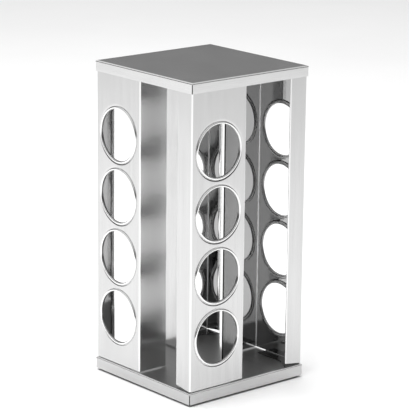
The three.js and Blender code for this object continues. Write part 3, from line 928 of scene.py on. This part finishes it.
settle(upper_disc, "carousel", "disc_plastic", "turntable_upper_disc")

cage_low, cage_high = box_mm("ball_cage")
cage_inside = 2 * RACE_RADIUS - cage_high.x
cage_section = rounded([
    (RACE_RADIUS, cage_low.z),
    (cage_high.x, cage_low.z),
    (cage_high.x, cage_high.z),
    (cage_inside, cage_high.z),
    (cage_inside, cage_low.z),
    (RACE_RADIUS - 1, cage_low.z),
], 0.4)
ball_centres = [centre_of(f"bearing_ball_{i:02d}") for i in range(1, 13)]
cage = lathe("ball_cage_ring", cage_section, DISC_SEGMENTS, [CAGE_PLASTIC], closed=True)
combine(cage, "DIFFERENCE", [
    rod(POCKET_RADIUS, cage_low.z - 1, cage_high.z + 1, centre) for centre in ball_centres
])
soften(cage)
settle(cage, "ball_cage_ring", "cage_plastic", "ball_cage")

ball_section = arc(0, BALL_Z, BALL_RADIUS, -90, 90, BALL_RINGS)
ball_section[0], ball_section[-1] = (0, BALL_Z - BALL_RADIUS), (0, BALL_Z + BALL_RADIUS)
for i, centre in enumerate(ball_centres, 1):
    ball = lathe(f"ball_{i:02d}", ball_section, BALL_SEGMENTS, [BALL_POLISHED], centre)
    ball.data.shade_smooth()
    settle(ball, "ball_cage_ring", "ball_steel", f"bearing_ball_{i:02d}")

# Rivet and washer
rivet_low, rivet_high = box_mm("pivot_rivet")
RIVET_RADIUS = 2.5
TAIL_RADIUS, TAIL_TOP = 4.6, lower_low.z - GAP
HEAD_RADIUS, HEAD_LOW = 5.4, rivet_high.z - 1.1
rivet_section = [
    (0, rivet_low.z),
    (1.6, rivet_low.z + 0.5),  # the dimple left by the riveting tool
    (2.4, rivet_low.z),
    *rounded([
        (2.6, rivet_low.z),
        (TAIL_RADIUS, rivet_low.z),
        (TAIL_RADIUS, TAIL_TOP),
        (3.2, TAIL_TOP),
    ], 0.7),
    (RIVET_RADIUS, TAIL_TOP),
    (RIVET_RADIUS, HEAD_LOW),
    *rounded([
        (3.0, HEAD_LOW),
        (HEAD_RADIUS, HEAD_LOW),
        (4.6, rivet_high.z - 0.3),
        (2.5, rivet_high.z - 0.05),
    ], 0.5),
    (0, rivet_high.z),
]
rivet = lathe("rivet", rivet_section, RIVET_SEGMENTS, [RIVET_ROLLED])
soften(rivet)
settle(rivet, "turntable_base", "rivet_steel", "pivot_rivet")

washer_low, washer_high = box_mm("pivot_washer")
washer_section = rounded([
    (4.0, washer_low.z),
    (washer_high.x, washer_low.z),
    (washer_high.x, washer_high.z),
    (BORE, washer_high.z),
    (BORE, washer_low.z),
    (3.5, washer_low.z),
], 0.15)
washer = lathe("washer", washer_section, RIVET_SEGMENTS, [RIVET_ROLLED], closed=True)
soften(washer)
settle(washer, "carousel", "rivet_steel", "pivot_washer")

# Screws and feet
SCREW_RADIUS = 1.4
SCREW_HEAD_HEIGHT, SCREW_RIM_HEIGHT = 1.9, 0.7
CROSS_LONG, CROSS_NARROW, CROSS_DEEP = 1.6, 0.36, 0.9  # half sizes of a blade of the cross
FOOT_RADIUS = 5.5
NECK_RADIUS = 2.2
BARB_RADIUS = 3.1
DIMPLE = 0.25  # depth of the hollow under a foot

for quarter in QUARTERS:
    low, high = box_mm(f"tray_screw_{quarter}")
    x, y = screw_centres[quarter]
    head_z, radius = high.z - SCREW_HEAD_HEIGHT, (high.x - low.x) / 2
    rise = SCREW_HEAD_HEIGHT - SCREW_RIM_HEIGHT
    dome = [
        (radius * math.sin(t), head_z + SCREW_RIM_HEIGHT + rise * math.cos(t))
        for t in spread(math.pi / 2, 0, DOME_STEPS)
    ]
    dome[-1] = (0, high.z)
    section = [
        (0, low.z),
        (SCREW_RADIUS, low.z + SCREW_RADIUS),
        (SCREW_RADIUS, head_z - 0.3),
        (1.5, head_z),
        (radius - 0.25, head_z),
        (radius, head_z + 0.25),
        *dome,
    ]
    screw = lathe(f"screw_{quarter}", section, SMALL_SEGMENTS, [SCREW_PLATED], (x, y))
    blades = []
    for half in ((CROSS_NARROW, CROSS_LONG), (CROSS_LONG, CROSS_NARROW)):
        bm = bmesh.new()
        bmesh.ops.create_cube(bm, size=2 * MM)
        mesh = mesh_of("tool", bm)
        mesh.transform(Matrix.Diagonal((*half, CROSS_DEEP, 1)))
        mesh.transform(Matrix.Translation(Vector((x, y, high.z + 0.1)) * MM))
        blades.append(add_object("tool", mesh))
    combine(screw, "DIFFERENCE", blades)
    soften(screw)
    settle(screw, "carousel", "screw_steel", f"tray_screw_{quarter}")

    low, high = box_mm(f"rubber_foot_{quarter}")
    pad_top, barb_z = lower_low.z - GAP, LOWER_TOP + GAP
    section = [
        (0, DIMPLE),
        (NECK_RADIUS, DIMPLE),
        *rounded([
            (2.8, 0),
            (FOOT_RADIUS - 0.4, 0),
            (FOOT_RADIUS, 0.6),
            (FOOT_RADIUS - 0.3, pad_top),
            (3, pad_top),
        ], 0.6),
        (NECK_RADIUS, pad_top),
        (NECK_RADIUS, barb_z),
        *rounded([(2.4, barb_z), (BARB_RADIUS, barb_z), (NECK_RADIUS, high.z), (0.8, high.z)], 0.3),
        (0, high.z),
    ]
    foot = lathe(f"foot_{quarter}", section, SMALL_SEGMENTS, [FOOT_RUBBER], foot_centres[quarter])
    soften(foot)
    settle(foot, "turntable_base", "foot_rubber", f"rubber_foot_{quarter}")

# ---- Floor and light ----------------------------------------------------------------------------

# In metres
FLOOR_HALF = 8.0
SOFTBOX_PLACE = (-0.1, -0.4, 2.0)
SOFTBOX_TARGET = (0, 0, 0.1)
SOFTBOX_SIDE = 2.4
SOFTBOX_WATTS = 50


def make_floor():
    bm = bmesh.new()
    bmesh.ops.create_grid(bm, x_segments=8, y_segments=8, size=FLOOR_HALF)
    mesh = mesh_of("floor", bm)
    look = Look("floor_card")
    solid = look.node("ShaderNodeTexCoord").outputs["Object"]
    paper = look.noise(solid, 3.0, 4.0)
    look.set(
        Base_Color=look.mix(look.span(paper, 0, 1, 0.3, 0.7), grey(0.90), grey(0.93)),
        Roughness=0.9,
        Specular_IOR_Level=0.1,
    )
    mesh.materials.append(look.material)
    floor = add_object("floor", mesh)


BEHIND = Vector((-0.761, 0.649, 0))  # level direction away from the camera
WINDOW_SIDE = Vector((-0.55, -0.83, 0))  # the brighter side of the studio
WORLD_STRENGTH = 0.75
WINDOW_SWING = 0.2  # share by which the window side is brighter and the other side darker
BEHIND_FROM, BEHIND_FULL = 0.5, 0.88  # cosines between which the light from behind takes over
# Each stop is (height, level). Height is 0 straight down, 0.5 at the horizon and 1 straight up.
OPEN_STOPS = [(0.0, 0.9), (0.49, 0.9), (0.5, 0.10), (0.60, 0.14), (0.78, 0.9), (1.0, 1.3)]
BEHIND_STOPS = [(0.0, 0.9), (0.49, 0.9), (0.5, 0.18), (0.62, 0.30), (0.78, 0.95), (1.0, 1.3)]


def make_world():
    """A soft studio: white below the horizon, a dark band above it and a bright ceiling."""
    world = bpy.data.worlds.new("studio")
    bpy.context.scene.world = world
    world.use_nodes = True
    tree = world.node_tree
    background = tree.nodes["Background"]
    direction = tree.nodes.new("ShaderNodeTexCoord").outputs["Generated"]

    def link(value, socket):
        if isinstance(value, bpy.types.NodeSocket):
            tree.links.new(value, socket)
        else:
            socket.default_value = value

    def span(value, start, end, low, high):
        made = tree.nodes.new("ShaderNodeMapRange")
        made.interpolation_type = "SMOOTHSTEP"
        for socket, number in zip(made.inputs, (value, start, end, low, high)):
            link(number, socket)
        return made.outputs[0]

    def towards(axis):
        made = tree.nodes.new("ShaderNodeVectorMath")
        made.operation = "DOT_PRODUCT"
        link(direction, made.inputs[0])
        link(axis, made.inputs[1])
        return made.outputs["Value"]

    def ramp(stops, place):
        made = tree.nodes.new("ShaderNodeValToRGB")
        made.color_ramp.interpolation = "EASE"
        elements = made.color_ramp.elements
        while len(elements) < len(stops):
            elements.new(0.5)
        for element, (position, level) in zip(elements, stops):
            element.position = position
            element.color = (level, level, level, 1)
        link(place, made.inputs[0])
        return made.outputs[0]

    height = tree.nodes.new("ShaderNodeMath")
    height.operation = "MULTIPLY_ADD"
    link(towards((0, 0, 1)), height.inputs[0])
    height.inputs[1].default_value = 0.5
    height.inputs[2].default_value = 0.5
    mix = tree.nodes.new("ShaderNodeMix")
    mix.data_type = "RGBA"
    link(span(towards(BEHIND), BEHIND_FROM, BEHIND_FULL, 0, 1), mix.inputs["Factor"])
    link(ramp(OPEN_STOPS, height.outputs[0]), mix.inputs[6])
    link(ramp(BEHIND_STOPS, height.outputs[0]), mix.inputs[7])
    link(mix.outputs[2], background.inputs[0])
    dim, bright = WORLD_STRENGTH * (1 - WINDOW_SWING), WORLD_STRENGTH * (1 + WINDOW_SWING)
    link(span(towards(WINDOW_SIDE), -1, 1, dim, bright), background.inputs[1])


def make_softbox():
    data = bpy.data.lights.new("overhead", "AREA")
    data.shape = "RECTANGLE"
    data.size, data.size_y = SOFTBOX_SIDE, SOFTBOX_SIDE
    data.energy = SOFTBOX_WATTS
    light = bpy.data.objects.new("overhead", data)
    light.location = SOFTBOX_PLACE
    light.visible_glossy = False  # so that steel mirrors the studio and not this light
    light.rotation_mode = "QUATERNION"
    aim = Vector(SOFTBOX_TARGET) - Vector(SOFTBOX_PLACE)
    light.rotation_quaternion = aim.to_track_quat("-Z", "Y")
    bpy.context.scene.collection.objects.link(light)


make_floor()
make_world()
make_softbox()

settings = bpy.context.scene.view_settings
settings.view_transform = "Standard"
settings.look = "None"
